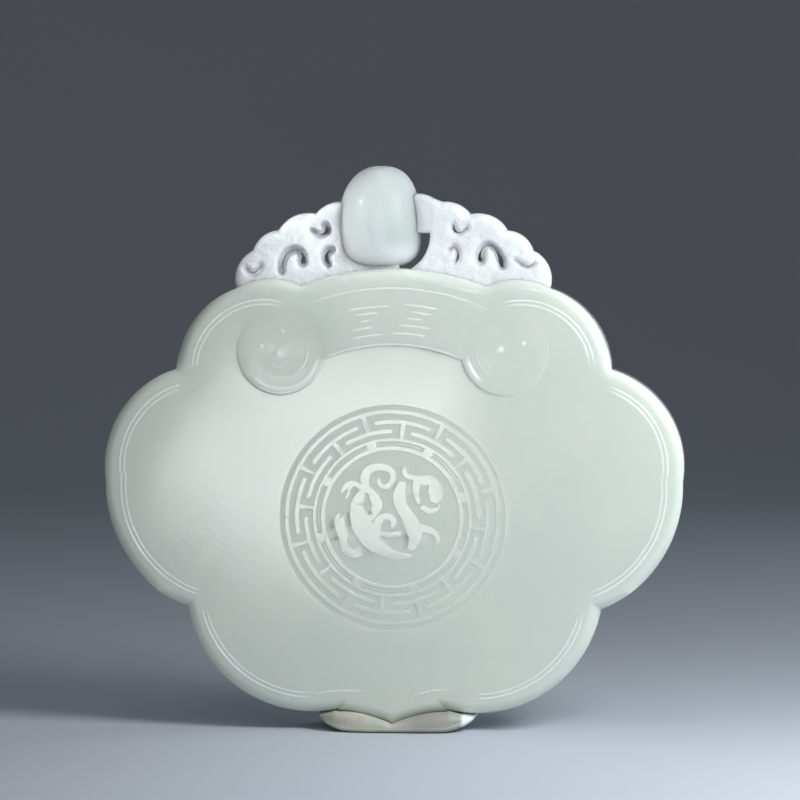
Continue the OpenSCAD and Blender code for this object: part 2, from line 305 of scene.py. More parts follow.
stone, at = jade("bead_jade", 5.5)
across, height = stone.part(at, 0), stone.part(at, 2)
# Painted light and shade: the colour is lighter on the left, which the lamps leave in shade, and darker on
# the right, where the right-hand lamp falls.
clear = stone.mix(across.step(-4.6, 2.0), (0.66, 0.71, 0.70), (0.46, 0.505, 0.49))
grain = stone.noise(at, 3.0, 2.0, 0.5)
# Painted light: low down, towards the foot, the colour is lighter, against the shade under the bead.
stone.set(Base_Color=stone.mix(height.step(45.2, 47.8), (0.77, 0.81, 0.80), clear),
          Roughness=0.42 + grain.step(0.3, 0.8) * 0.06, Specular_IOR_Level=0.12,
          Coat_Weight=0.12, Coat_Roughness=0.08, Normal=stone.bump(grain, 0.01))
BEAD_JADE = stone.material
print("jade finishes made")

# %% [markdown]
# The crown is the same stone, but it is left frosted from the abrasive that cut the piercings,
# which scatters the light at its surface and makes it look whiter. It is smooth only on the
# two arms that hold the bead. Its grooves are painted greyer, as painted shade. The mesh
# carries the two as `frost` and `hollow`. The pad is satin and plain, its colours set dark as
# painted shade from the plaque above it: mottled and warm on the left, greyer on the right,
# with a painted white highlight at its right end. The pin is a short pale rod that nobody sees.

# %% Crown, pad and pin finishes
stone, at = jade("crown_jade", 1.2)
frost, hollow = stone.painted("frost"), stone.painted("hollow")
pits = stone.noise(at, 2.6, 4.0, 0.7)
white = stone.mix(frost, (0.79, 0.825, 0.835), (0.84, 0.865, 0.875))
# Painted shade: where `hollow` is 1, on the floors of the deepest grooves, the colour turns grey.
stone.set(Base_Color=stone.mix(hollow * 0.4, white, (0.60, 0.62, 0.64)),
          Roughness=0.24 + frost * 0.38,
          Normal=stone.bump(frost * pits.step(0.25, 0.8) + 0.1 * pits, 0.06))
CROWN_JADE = stone.material

satin = Finish("pad_cream", Subsurface_Weight=0.5, Subsurface_Radius=(1.2, 1.0, 0.7),
               Subsurface_Scale=0.6 * MM, IOR=1.5)
at = satin.place()
across = satin.part(at, 0)
patches = satin.noise(at, 0.5, 3.0, 0.55)
# Painted shade: the pad's colours are set dark for the shade of the plaque above it, greyest on the right.
mottled = satin.mix(patches.step(0.35, 0.7), (0.48, 0.50, 0.42), (0.64, 0.60, 0.58))
body = satin.mix(across.step(-1.0, 3.0), mottled, (0.355, 0.36, 0.33))
# Painted highlight: the right end is white where its turned-up lip catches the light.
satin.set(Base_Color=satin.mix(across.step(6.5, 7.0), body, (0.88, 0.91, 0.94)),
          Roughness=0.36 + patches * 0.16,
          Normal=satin.bump(satin.noise(at, 1.6, 3.0, 0.5), 0.05))
PAD_SATIN = satin.material

rod = Finish("pin_pale", IOR=1.5)
lines = rod.noise(rod.place((0.1, 1, 1)), 6.0, 2.0, 0.5)
rod.set(Base_Color=rod.mix(lines, (0.60, 0.60, 0.55), (0.68, 0.68, 0.63)),
        Roughness=0.25 + lines * 0.15, Normal=rod.bump(lines, 0.01))
PIN_PALE = rod.material

sheet = Finish("floor_sheet", Roughness=0.9, Specular_IOR_Level=0.2)
wide = sheet.noise(sheet.place(), 0.02, 2.0)
sheet.set(Base_Color=sheet.mix(wide, (0.56, 0.60, 0.66), (0.58, 0.62, 0.68)))
floor.data.materials.append(sheet.material)
print("finishes:", [m.name for m in bpy.data.materials])

# %% [markdown]
# ## Heights over a plan
#
# The plaque and the crown are flat stones with a worked surface, so each is described by
# functions of the two coordinates across its face. One gives the depth inside the outline,
# which is 0 on the outline and grows inwards. Another gives how far the surface stands out.
# Below, a depth is always positive inside a shape and negative outside it.

# %% Depth functions
def disc_depth(p, centre, radius):
    """Radius less the distance from the centre."""
    return radius - np.hypot(p[..., 0] - centre[0], p[..., 1] - centre[1])


def sector_depth(p, r0, r1, middle, half):
    """Depth inside the part of a ring between r0 and r1, and within half degrees of middle."""
    r = np.hypot(p[..., 0], p[..., 1])
    off = np.degrees(np.arctan2(p[..., 1], p[..., 0])) - middle
    off = np.abs((off + 180) % 360 - 180)
    across = (r1 - r0) / 2 - np.abs(r - (r0 + r1) / 2)
    along = np.radians(half - off) * r
    return across if half >= 180 else np.minimum(across, along)


def brush_depth(p, stroke):
    """Depth inside a brush stroke, a row of (x, y, half width): the largest, over its segments,
    of the width at the nearest point of the segment less the distance to it."""
    best = np.full(p.shape[:-1], -1e9)
    for a, b in zip(stroke[:-1], stroke[1:]):
        line = b[:2] - a[:2]
        t = np.clip(((p - a[:2]) @ line) / max(line @ line, 1e-12), 0, 1)
        gap = np.hypot(*np.moveaxis(p - a[:2] - t[..., None] * line, -1, 0))
        best = np.maximum(best, a[2] + t * (b[2] - a[2]) - gap)
    return best


def polygon_depth(p, corners):
    """Distance to the nearest side of a polygon, positive inside."""
    near = np.full(p.shape[:-1], 1e9)
    inside = np.zeros(p.shape[:-1], bool)
    for a, b in zip(corners, np.roll(corners, -1, 0)):
        line = b - a
        t = np.clip(((p - a) @ line) / (line @ line), 0, 1)
        near = np.minimum(near, np.hypot(*np.moveaxis(p - a - t[..., None] * line, -1, 0)))
        crosses = (a[1] > p[..., 1]) != (b[1] > p[..., 1])
        with np.errstate(divide="ignore", invalid="ignore"):
            at_x = a[0] + (p[..., 1] - a[1]) * line[0] / line[1]
        inside ^= crosses & (p[..., 0] < at_x)
    return np.where(inside, near, -near)


def smooth(t):
    """Soft step from 0 to 1: 3t^2 - 2t^3, held outside that range."""
    t = np.clip(t, 0, 1)
    return t * t * (3 - 2 * t)


def to_right(p):
    """Mirrors the left half of the plan on to the right."""
    return np.stack([np.abs(p[..., 0]), p[..., 1]], -1)


def to_left(p):
    """Mirrors the right half of the plan on to the left."""
    return to_right(p) * [-1, 1]


def rounded(depth, radius):
    """How far a rounded edge has dropped at a depth inside the outline: a quarter circle. The
    depth is kept a hair off 0, where the circle stands upright and its slope has no limit."""
    d = np.clip(depth, 2e-4, radius)
    return radius - np.sqrt(np.maximum(2 * radius * d - d * d, 0))


print("a 1 mm round has dropped", round(float(rounded(0.3, 1.0)), 3), "mm at 0.3 mm inside")

# %% [markdown]
# The triangles under such a surface should run along its carving, because a line 0.2 mm wide
# would need a very fine even grid. So each figure gives the lines where its sides begin, are
# steepest and end, and a constrained triangulation joins them all into one net. The normals
# come from the height function itself, so flat stone stays flat in the light up to each edge.

# %% Lines along the carving
def arc(centre, radius, first, last, step=0.35):
    """Points of a circle's arc, about step millimetres apart."""
    n = max(3, int(abs(math.radians(last - first)) * radius / step) + 1)
    a = np.radians(np.linspace(first, last, n))
    return np.stack([centre[0] + radius * np.cos(a), centre[1] + radius * np.sin(a)], -1)


def smooth_stroke(table, parts=6):
    """A Catmull-Rom curve through the rows of a table, with parts steps between two rows."""
    k = np.array(table, float)
    k = np.concatenate([2 * k[:1] - k[1:2], k, 2 * k[-1:] - k[-2:-1]])
    t = np.linspace(0, 1, parts, endpoint=False)[None, :, None]
    a, b, c, d = (k[i : len(k) - 3 + i, None] for i in range(4))
    curve = 0.5 * (2 * b + (c - a) * t + (2 * a - 5 * b + 4 * c - d) * t**2 + (3 * b - a - 3 * c + d) * t**3)
    return np.concatenate([curve.reshape(-1, k.shape[1]), k[-2:-1]])


def stroke_outline(stroke, grow):
    """The closed outline of a brush stroke grown by grow: its two sides, and round ends."""
    along = np.gradient(stroke[:, :2], axis=0)
    along /= np.linalg.norm(along, axis=1, keepdims=True)
    side = np.stack([-along[:, 1], along[:, 0]], -1)
    half = np.maximum(stroke[:, 2:3] + grow, 0.01)
    turn = np.radians(np.linspace(90, -90, 7))[1:-1, None]
    cap_b = stroke[-1, :2] + half[-1] * (np.cos(turn) * along[-1] + np.sin(turn) * side[-1])
    cap_a = stroke[0, :2] - half[0] * (np.cos(turn) * along[0] + np.sin(turn) * side[0])
    return np.concatenate([stroke[:, :2] + half * side, cap_b,
                           (stroke[:, :2] - half * side)[::-1], cap_a])


class Net:
    """Collects lines and loose points, and joins them into triangles. Points closer than MERGE
    become one, and triangles smaller than SLIVER are left out."""

    MERGE, SLIVER = 2e-4, 1e-9

    def __init__(self):
        self.points, self.edges, self.count = [], [], 0

    def line(self, points, closed=False):
        n = len(points)
        i = np.arange(n if closed else n - 1)
        self.edges.append(np.stack([i, (i + 1) % n], -1) + self.count)
        self.scatter(points)

    def scatter(self, points):
        self.points.append(points)
        self.count += len(points)

    def triangles(self, depth):
        """Points and counterclockwise triangles of the part of the plan where depth is positive."""
        points = np.concatenate(self.points)
        out = delaunay_2d_cdt([Vector(p) for p in points.tolist()],
                              np.concatenate(self.edges).tolist(), [], 0, self.MERGE, False)
        p = np.array([v[:] for v in out[0]])
        t = np.array(out[2])
        t = t[depth(p[t].mean(1)) > 0]
        e1, e2 = p[t[:, 1]] - p[t[:, 0]], p[t[:, 2]] - p[t[:, 0]]
        area = e1[:, 0] * e2[:, 1] - e1[:, 1] * e2[:, 0]
        t[area < 0] = t[area < 0][:, ::-1]
        t = t[np.abs(area) > self.SLIVER]
        used, t = np.unique(t, return_inverse=True)
        return p[used], t.reshape(-1, 3)


def slope(height, p, step=1e-3):
    """How fast a height function changes along each axis, from values a hair apart."""
    dx, dy = np.array([step, 0]), np.array([0, step])
    return np.stack([height(p + dx) - height(p - dx), height(p + dy) - height(p - dy)], -1) / (2 * step)


def loose_points(x_range, z_range, step, shake, waves):
    """A grid of points step apart, each moved by a wave of up to shake, so that no rows line up."""
    at = np.stack(np.meshgrid(np.arange(*x_range, step), np.arange(*z_range, step)), -1).reshape(-1, 2)
    return at + shake * np.sin(at[:, ::-1] * waves)


print("an arc of 90 degrees on a 10 mm radius has", len(arc((0, 0), 10, 0, 90)), "points")

# %% From a plan to a closed stone
def stone_plate(name, p, t, front, back, lift, attributes, finish):
    """A closed mesh: the plan's triangles at y = -front and y = back, and a wall round them.

    front(p) and back(p) are how far each face stands from the middle plane. Its normals are
    (-df/dx, -1, -df/dz) on the front, and the same towards +Y on the back."""
    n = len(p)
    verts = np.empty((2 * n, 3))
    verts[:n] = np.stack([p[:, 0], -front(p), p[:, 1] + lift], -1)
    verts[n:] = np.stack([p[:, 0], back(p), p[:, 1] + lift], -1)
    edges = np.concatenate([t[:, [0, 1]], t[:, [1, 2]], t[:, [2, 0]]])
    keys = set(map(tuple, edges.tolist()))
    rim = np.array([e for e in edges.tolist() if (e[1], e[0]) not in keys])
    wall = np.stack([rim[:, 1], rim[:, 0], rim[:, 0] + n, rim[:, 1] + n], -1)
    piece = add_mesh(name, verts, t.tolist() + (t[:, ::-1] + n).tolist() + wall.tolist())
    mesh = piece.data
    sf, sb = slope(front, p), slope(back, p)
    normals = np.concatenate([
        np.stack([-sf[:, 0], -np.ones(n), -sf[:, 1]], -1),
        np.stack([-sb[:, 0], np.ones(n), -sb[:, 1]], -1)])
    normals /= np.linalg.norm(normals, axis=1, keepdims=True)
    mesh.normals_split_custom_set_from_vertices(normals.tolist())
    for key, of_plan in attributes.items():
        layer = mesh.attributes.new(key, "FLOAT", "POINT")
        layer.data.foreach_set("value", np.concatenate([of_plan(p), np.zeros(n)]).astype(np.float32))
    mesh.materials.append(finish)
    print(name, "has", len(t) * 2 + len(wall) * 2, "triangles")
    return piece


# %% [markdown]
# ## The plaque's outline
#
# Its scallops are round: the outline is a union of discs, mirrored left and right, with a
# shallow arch over the top and a small pointed cusp below. The depth inside a union is the
# largest of its members' depths, and shrinking every disc by the same amount gives the next
# line in from the edge.

# %% Outline of the plaque
# Half width, half thickness, radius of the round edge, and how high the plan's zero stands
HALF_W, HALF_T, EDGE_R, LIFT = 28.0, 3.4, 1.1, 0.55
# The right half's discs: x, z and radius
LOBES = np.array([[0.652, 0.895, 0.348], [0.549, 0.820, 0.447], [0.283, 0.483, 0.441],
                  [0.443, 1.216, 0.307], [0.425, 1.309, 0.230]]) * HALF_W
MIDDLE = (0, 0.659 * HALF_W, 0.618 * HALF_W)
CENTRE = np.array([0, 0.72 * HALF_W])
ARCH_R = 24.0
CUSP_HALF, CUSP_TOP = 0.193 * HALF_W, 0.107 * HALF_W
CUSP_R, CUSP_X = 0.5 * HALF_W, 0.211 * HALF_W
CUSP_Z = -math.sqrt(CUSP_R**2 - CUSP_X**2)


def cusp_depth(q):
    """Depth inside the cusp's right half: outside the disc that hollows its side, and near enough
    to the middle."""
    return np.minimum(-disc_depth(q, (CUSP_X, CUSP_Z), CUSP_R), CUSP_HALF - q[..., 0])


def plaque_depth(p):
    """Depth inside the plaque's outline, with x folded to its right half."""
    q = to_right(p)
    deep = disc_depth(q, MIDDLE[:2], MIDDLE[2])
    for x, z, r in LOBES:
        deep = np.maximum(deep, disc_depth(q, (x, z), r))
    arch = disc_depth(q, CENTRE, ARCH_R)
    deep = np.where(q[..., 1] > CENTRE[1], np.maximum(deep, arch), deep)
    return np.where(q[..., 1] < CUSP_TOP, np.maximum(deep, cusp_depth(q)), deep)


def halve(low, high, times, holds):
    """The last places between low and high where a test still holds, found by halving."""
    for _ in range(times):
        middle = (low + high) / 2
        yes = holds(middle)
        low, high = np.where(yes, middle, low), np.where(yes, high, middle)
    return low


def inner_line(depth, level, centre, angles, reach):
    """The line at one depth inside an outline: on each ray from the centre, the farthest point
    that is that deep, found on a coarse row of points and then by halving."""
    ray = np.stack([np.cos(angles), np.sin(angles)], -1)
    r = np.linspace(0, reach, 241)
    deep = depth(centre + r[:, None, None] * ray) >= level
    last = len(r) - 1 - np.argmax(deep[::-1], axis=0)
    edge = halve(r[last], r[np.minimum(last + 1, len(r) - 1)], 22,
                 lambda far: depth(centre + far[:, None] * ray) >= level)
    return centre + edge[:, None] * ray


net = Net()
REACH = 34
round_about = np.radians(np.arange(-90, 270, 0.4))
for level in (0, 0.02, 0.08, 0.18, 0.32, 0.5, 0.7, 0.9, 1.15, 1.7, 2.3):
    net.line(inner_line(plaque_depth, level, CENTRE, round_about, REACH), closed=True)
print("outline of", len(round_about), "points")

# %% [markdown]
# ## Ridges
#
# The thin bright lines of the carving are low round ridges along arcs: the double line that
# follows the rim, the bars on the ruyi head, and the edges of the head and its scrolls.
# One table holds them all, for the left half, and they are mirrored. A ridge's height is a
# cosine hump across its width, and it fades out towards both ends. The right scroll is worn:
# of its outer ridge only a part is left, and its inner two are fainter.

# %% Table of ridges
# The rim's lines: the lobe that they follow, and their first and last angle in degrees
RIM = [(0, 107, 190.9), (1, 171.6, 252), (2, 193, 271), (3, 74, 175)]
SCROLL_R, SCROLL_TURN = 4.2, math.radians(34)
SCROLL = CENTRE + (ARCH_R * 0.8065) * np.array([-math.sin(SCROLL_TURN), math.cos(SCROLL_TURN)])
# Each ridge: x, z and radius of its arc, first and last angle, half width, height
RIDGES = []
for lobe, first, last in RIM:
    x, z, r = LOBES[lobe]
    for inset, high in ((1.5, 0.09), (1.92, 0.06)):
        RIDGES.append((-x, z, r - inset, first, last, 0.14, high))
RIDGES.append((*SCROLL, 0.87 * SCROLL_R, -142, -6, 0.32, 0.12))
RIDGES.append((*SCROLL, 0.63 * SCROLL_R, -75, 15, 0.13, 0.07))
RIDGES.append((*SCROLL, 0.38 * SCROLL_R, -140, -50, 0.11, 0.06))
RIDGES = np.array(RIDGES)
mirrored = RIDGES * [-1, 1, 1, 1, 1, 1, 1]
mirrored[:, 3], mirrored[:, 4] = 180 - RIDGES[:, 4], 180 - RIDGES[:, 3]
mirrored[-3, 3:5] = 184, 238
mirrored[-2:, 6] *= 0.35
# Arcs that aren't mirrored: the band's two edges, two lines beside the cusp, and ten bars, each
# with its share of the arch's radius and its first and last angle from the upright
ALONE = [(*CENTRE, 0.922 * ARCH_R, 69, 111, 0.12, 0.08), (*CENTRE, 0.697 * ARCH_R, 66, 114, 0.15, 0.12),
         (-4.4, -10.63, 14, 82, 105, 0.12, 0.08), (4.9, -3.09, 6.6, 84, 119, 0.12, 0.08)]
BARS = [(0.850, 0.5, 12.8), (0.825, 3.7, 10.4), (0.797, 6.0, 9.9), (0.769, 5.4, 12.2),
        (0.737, 2.6, 12.9), (0.857, -12.6, -2.7), (0.830, -11.2, -5.0), (0.803, -9.1, -3.4),
        (0.774, -11.8, -1.5), (0.742, -10.6, 0.5)]
ALONE += [(*CENTRE, share * ARCH_R, 90 + first, 90 + last, 0.13, 0.10) for share, first, last in BARS]
RIDGES = np.concatenate([RIDGES, mirrored, ALONE])


def ridge_height(p):
    """Sum of cosine humps h (1 + cos(pi d / w)) / 2 across each arc, d away from it. Each fades
    out over its last 1.4 mm, and over 0.5 mm where it is short."""
    total = np.zeros(p.shape[:-1])
    for x, z, r, first, last, w, h in RIDGES:
        d = np.hypot(p[..., 0] - x, p[..., 1] - z) - r
        middle, half = (first + last) / 2, (last - first) / 2
        off = np.degrees(np.arctan2(p[..., 1] - z, p[..., 0] - x)) - middle
        off = np.abs((off + 180) % 360 - 180)
        run = 0.5 if half < 7 else 1.4
        fade = smooth((half - off) / min(half, math.degrees(run / r)))
        total += np.where(np.abs(d) < w, h * fade * (1 + np.cos(np.pi * np.clip(d / w, -1, 1))) / 2, 0)
    return total


for x, z, r, first, last, w, h in RIDGES:
    for share in (-1, -0.5, 0, 0.5, 1):
        net.line(arc((x, z), r + share * w, first, last))
print(len(RIDGES), "ridges")

# %% [markdown]
# ## The ruyi head
#
# A band bends round the top of the medallion and ends in a scroll on either side. Band and
# scrolls stand out from the face as one step. In the left scroll the ground is cut down again
# round a few small domes. The right one is worn low and polished, with two domes left.

# %% Ruyi head and scrolls
# Height of the step, width of its sloping side, depth of the scroll's sunk ground
HEAD_H, HEAD_SIDE, SUNK = 0.20, 0.24, 0.025
# The band's inner and outer radius, and its half angle
BAND = (0.692 * ARCH_R, 0.921 * ARCH_R, 30)
SCROLL_GROUND = 0.56 * SCROLL_R
# Three domes in the left scroll and two in the right: x, z, radius, height
SX, SZ = SCROLL
DOMES = [(SX - 0.15, SZ - 0.25, 0.55, 0.11), (SX - 1.85, SZ + 0.45, 0.36, 0.08),
         (SX + 0.2, SZ + 1.9, 0.22, 0.04), (-SX - 0.41, SZ + 0.2, 0.48, 0.10),
         (-SX + 1.86, SZ + 0.78, 0.34, 0.08)]


def head_depth(p):
    """Depth inside the union of the band and the two scrolls."""
    q = to_left(p)
    band = sector_depth(q - CENTRE, BAND[0], BAND[1], 90, BAND[2])
    return np.maximum(band, disc_depth(q, SCROLL, SCROLL_R))


def lower_share(q):
    """1 in the lower part of the scroll, whose ground is sunk, fading out above its middle."""
    return smooth((SCROLL[1] + 0.9 - q[..., 1]) / 2.0)


def sunk_share(q):
    """1 on the scroll's round ground, 0 outside it, with a sloping side between."""
    return smooth(disc_depth(q, SCROLL, SCROLL_GROUND) / HEAD_SIDE + 0.5)


def dome_height(p):
    """Height of the small domes: the same cosine hump, all round."""
    total = 0
    for x, z, r, h in DOMES:
        total = total + h * (1 + np.cos(np.pi * np.clip(disc_depth(p, (x, z), 0) / r, -1, 1))) / 2
    return total


def worn(p):
    """0 on the left, rising to 1 on the right scroll, whose carving is worn low and polished."""
    return smooth((p[..., 0] - 7.5) / 4)


def head_height(p):
    """One step up on to the head, one down on to the scroll's ground, and the domes.

    The head slopes back: it stands proud along its lower edge and dies out at its upper one."""
    q = to_left(p)
    on_band = (BAND[1] - np.hypot(*np.moveaxis(q - CENTRE, -1, 0))) / (BAND[1] - BAND[0])
    on_scroll = (SCROLL[1] + SCROLL_R - q[..., 1]) / (2 * SCROLL_R)
    near = smooth(disc_depth(q, SCROLL, SCROLL_R) / 1.2 + 0.5)
    level = on_band + (on_scroll - on_band) * near
    step = smooth(head_depth(p) / HEAD_SIDE + 0.5)
    up = HEAD_H * np.clip(0.1 + 0.9 * level, 0, 1) * step * (1 - 0.5 * worn(p))
    down = SUNK * lower_share(q) * sunk_share(q)
    return up - down * (1 - worn(p)) + dome_height(p)


for side in (-1, 1):
    flip = np.array([-side, 1])
    for share in (-0.5, -0.25, 0, 0.25, 0.5):
        off = share * HEAD_SIDE
        net.line(arc(SCROLL, SCROLL_R - off, 0, 360)[:-1] * flip, closed=True)
        net.line(arc(SCROLL, SCROLL_GROUND - off, 0, 360)[:-1] * flip, closed=True)
for x, z, r, h in DOMES:
    for share in (0.25, 0.5, 0.75, 1, 1.2):
        net.line(arc((x, z), share * r, 0, 360, 0.12)[:-1], closed=True)
for share in (-0.5, -0.25, 0, 0.25, 0.5):
    net.line(arc(CENTRE, BAND[0] + share * HEAD_SIDE, 64, 116))
    net.line(arc(CENTRE, BAND[1] - share * HEAD_SIDE, 64, 116))
print("ruyi head: band between", BAND[:2], "and scrolls at", SCROLL.round(2))

# %% [markdown]
# ## The medallion
#
# The round field is cut a hair into the face, and its figures are what was left standing:
# four rings, a key fret of interlocking T shapes, eight bridges and a coiled chi dragon of
# the traditional kind. Ring parts, bars and brush strokes describe them all.

# %% Rings and key fret
# Radius of the field, depth of its ground, width of a figure's sloping side, width of the fret
MEDAL_R, GROUND_D, SIDE, FRET_W = 10.9, 0.06, 0.08, 0.43
# Each part of a ring, in shares of the field's radius: inner and outer radius, angle, half angle
RINGS = ((0.921, 0.958), (0.678, 0.706), (0.652, 0.660), (0.597, 0.635))
PARTS = [(r0, r1, 0, 180) for r0, r1 in RINGS]
# The two kinds of T: angle of the first, radius of its bar, radius that its stem ends at, half angle
TEES = ((38.3, 0.849, 0.69, 17.5), (16.2, 0.766, 0.94, 16.4))
w = FRET_W / MEDAL_R / 2
for k in range(8):
    for first, radius, far, half in TEES:
        a = first + 45 * k
        PARTS.append((radius - w, radius + w, a, half))
        r0, r1 = min(radius, far), max(radius, far)
        PARTS.append((r0, r1, a, math.degrees(w / ((r0 + r1) / 2))))
    PARTS.append((0.62, 0.69, 16.2 + 45 * k, math.degrees(0.043 / 0.655)))
PARTS = np.array(PARTS) * [MEDAL_R, MEDAL_R, 1, 1]
for r0, r1, middle, half in PARTS:
    for share in (-0.5, 0, 0.5):
        off = share * SIDE
        more = 180 if half >= 180 else half + math.degrees(off / ((r0 + r1) / 2))
        inner = arc(CENTRE, r0 - off, middle - more, middle + more, 0.3)
        outer = arc(CENTRE, r1 + off, middle + more, middle - more, 0.3)
        if half >= 180:
            net.line(inner[:-1], closed=True)
            net.line(outer[:-1], closed=True)
        else:
            net.line(np.concatenate([inner, outer]), closed=True)
for share in (-0.5, 0, 0.5):
    net.line(arc(CENTRE, MEDAL_R + share * SIDE, 0, 360, 0.3)[:-1], closed=True)
print(len(PARTS), "ring parts")

# %% The coiled dragon
# Brush strokes in hundredths of the medallion's radius: across, up, half width
DRAGON = [
    [(-19.5, 22.5, 2.6), (-23.8, 28, 3.4), (-24.2, 36.5, 4.1), (-20, 42.6, 3.7), (-12.3, 45.1, 3.4),
     (-5.2, 44, 3), (-0.3, 40.2, 2.7), (0.5, 35, 2.6), (-2.3, 29.3, 2.4), (-7.1, 27.2, 2.2),
     (-11.4, 30, 1.9), (-12, 33.5, 1.4)],
    [(-19.2, 24, 2.6), (-15.2, 15.7, 4.5), (-13.4, 10.2, 4.8), (-16.6, 4.2, 4.2), (-24, -2, 4.5)],
    [(-26.4, 23.1, 3), (-30.3, 14.2, 5.4), (-31.4, 5.3, 6.3), (-28.1, -3.6, 9), (-24.8, -11.3, 9),
     (-20.3, -19.1, 8), (-13, -25.8, 6.5), (-4, -31, 5), (6, -34, 3.6), (15, -34, 2.2)],
    [(-25.5, 25, 2.4), (-30.6, 28.8, 2.4), (-36.1, 30.2, 2.4), (-41.3, 27.6, 2.4), (-44.6, 22.6, 1.4)],
    [(-36, 28, 1.7), (-38.7, 24.4, 1.6), (-39.2, 20, 1.5), (-41.2, 17.4, 1)],
    [(-47, 2.6, 1.2), (-49.5, -1.5, 2.2), (-46.5, -8, 4.6), (-44, -15, 4.8), (-43.5, -21, 3.4), (-41, -29, 4),
     (-34, -32, 4), (-28.5, -32.5, 2)],
    [(-14.2, -18, 3.5), (-14.2, -10.2, 3.8), (-12.5, -3.6, 3.6), (-7.5, 0.9, 3), (-2, 0.7, 2.8),
     (1.2, -3.6, 2.4), (-0.3, -8, 1.6)],
    [(-10, -14, 2), (-2, -15.5, 2.6), (6, -14, 2.4)],
    [(8.6, 28.7, 4), (6.4, 20.9, 5.5), (6.9, 13.1, 5.5), (10.8, 5.3, 5.5), (15.8, -2.4, 6.5),
     (19.2, -10.2, 7), (20, -18, 5.5), (17, -26, 3.6)],
    [(10.8, 44.8, 0.8), (10.5, 40.9, 2), (13, 37, 2.2), (19.2, 35.4, 2.4), (27, 34.8, 2.8), (33.6, 34.8, 2.8),
     (39.2, 29.8, 3), (42, 23.1, 3.2), (41.4, 17.6, 2.6), (38, 14.2, 1.4)],
    [(21.4, 33, 2.6), (21.4, 27.6, 3.5), (21.4, 20.9, 2.6), (23.6, 14.2, 2)],
    [(35.8, 31, 3), (35.8, 23, 4), (36, 17, 3)],
    [(24, 31.5, 2.6), (34, 31.5, 2.6)],
    [(27, 9, 2.4), (33, 6, 2.6), (39, 7.5, 2), (42, 11, 1)],
    [(23, -9, 3.4), (30, -9.5, 3.2), (37, -13, 2.6), (40.5, -19, 1.8), (38.5, -24, 1)],
]
# Openings cut in the strokes, in the same measure
EYES = [[(-22, 19.5, 0.6), (-22.6, 15, 1.9), (-22.5, 10, 3.2), (-22.3, 6, 2.2), (-22, 3.5, 0.6)],
        [(29.4, 27.4, 1.3), (31.2, 27.6, 1.3)], [(26.6, 19.4, 0.6), (30, 18.6, 0.9), (33.4, 19.4, 0.6)]]


def brush(table):
    """A smooth stroke in millimetres on the plan, from a table in hundredths of the radius."""
    curve = smooth_stroke(table)
    return np.concatenate([curve[:, :2] * MEDAL_R / 100 + CENTRE, curve[:, 2:] * MEDAL_R / 100], 1)


DRAGON, EYES = [brush(s) for s in DRAGON], [brush(s) for s in EYES]
for stroke in DRAGON + EYES:
    for share in (-0.5, 0, 0.5):
        net.line(stroke_outline(stroke, share * SIDE), closed=True)


def standing(p):
    """Depth inside everything that is left standing in the medallion."""
    deep = np.max([sector_depth(p - CENTRE, *part) for part in PARTS], axis=0)
    figure = np.max([brush_depth(p, stroke) for stroke in DRAGON], axis=0)
    eyes = np.max([brush_depth(p, stroke) for stroke in EYES], axis=0)
    return np.maximum(deep, np.minimum(figure, -eyes))


def ground(p):
    """1 on the medallion's sunk ground, 0 on what stands and outside, with soft sides."""
    near = disc_depth(p, CENTRE, MEDAL_R + SIDE)
    share = np.zeros(p.shape[:-1])
    inside = near > 0
    q = p[inside]
    field = smooth(disc_depth(q, CENTRE, MEDAL_R) / SIDE + 0.5)
    share[inside] = field * (1 - smooth(standing(q) / SIDE + 0.5))
    return share


print(len(DRAGON), "strokes in the dragon")

# %% [markdown]
# ## The plaque
#
# The face was polished by hand, so it is not quite flat. It falls a little towards the rim, and
# it has a few shallow hollows and swellings. They hardly show as shape, but they bend the
# reflections of the lights. Edge, hollows, ridges, head and ground simply add up.

# %% Face and back of the plaque
# How far the face and the back fall at the rim, and how far in the fall reaches
FACE_FALL, BACK_FALL = (0.12, 2.2), (0.10, 2.6)
# x, z, radius and depth of each hollow. A depth below 0 is a swelling
HOLLOWS = [(-14.5, 28, 4.0, 0.05), (-21.5, 25.5, 4.5, -0.05), (14.5, 28, 4.5, 0.05), (0, 27, 9.0, -0.05)]


def edge_depth(p):
    """Depth for the rounded edge: where two lobes meet, a soft maximum of theirs, so that the
    round runs on past the notch without a crease: k ln(exp(a/k) + exp(b/k)), for the two deepest."""
    q = to_right(p)
    discs = [disc_depth(q, (x, z), r) for x, z, r in LOBES] + [disc_depth(q, CENTRE, ARCH_R)]
    discs.append(np.where(q[..., 1] < CUSP_TOP, cusp_depth(q), -9))
    discs = np.sort(np.stack(discs), axis=0)
    k = 0.6
    extra = k * np.log1p(np.exp(np.clip((discs[-2] - discs[-1]) / k, -30, 0)))
    deep = plaque_depth(p)
    return deep + np.where(deep < 3, extra, 0)


def slow_fall(p, drop, reach):
    """drop at the outline, dying out inwards as exp(-depth / reach)."""
    return drop * np.exp(-np.clip(plaque_depth(p), 0, 7) / reach)


def face_form(p):
    """The plain face: flat, less a slow fall towards the rim and some shallow hollows."""
    fall = slow_fall(p, *FACE_FALL)
    for x, z, r, h in HOLLOWS:
        fall = fall + h * np.exp(-((p[..., 0] - x) ** 2 + (p[..., 1] - z) ** 2) / (2 * r * r))
    return -fall


def plaque_front(p):
    """How far the carved face stands in front of the middle plane."""
    return (HALF_T + face_form(p) - rounded(edge_depth(p), EDGE_R)
            + ridge_height(p) + head_height(p) - GROUND_D * ground(p))


def plaque_back(p):
    """The plain polished back."""
    return HALF_T - slow_fall(p, *BACK_FALL) - rounded(edge_depth(p), EDGE_R)


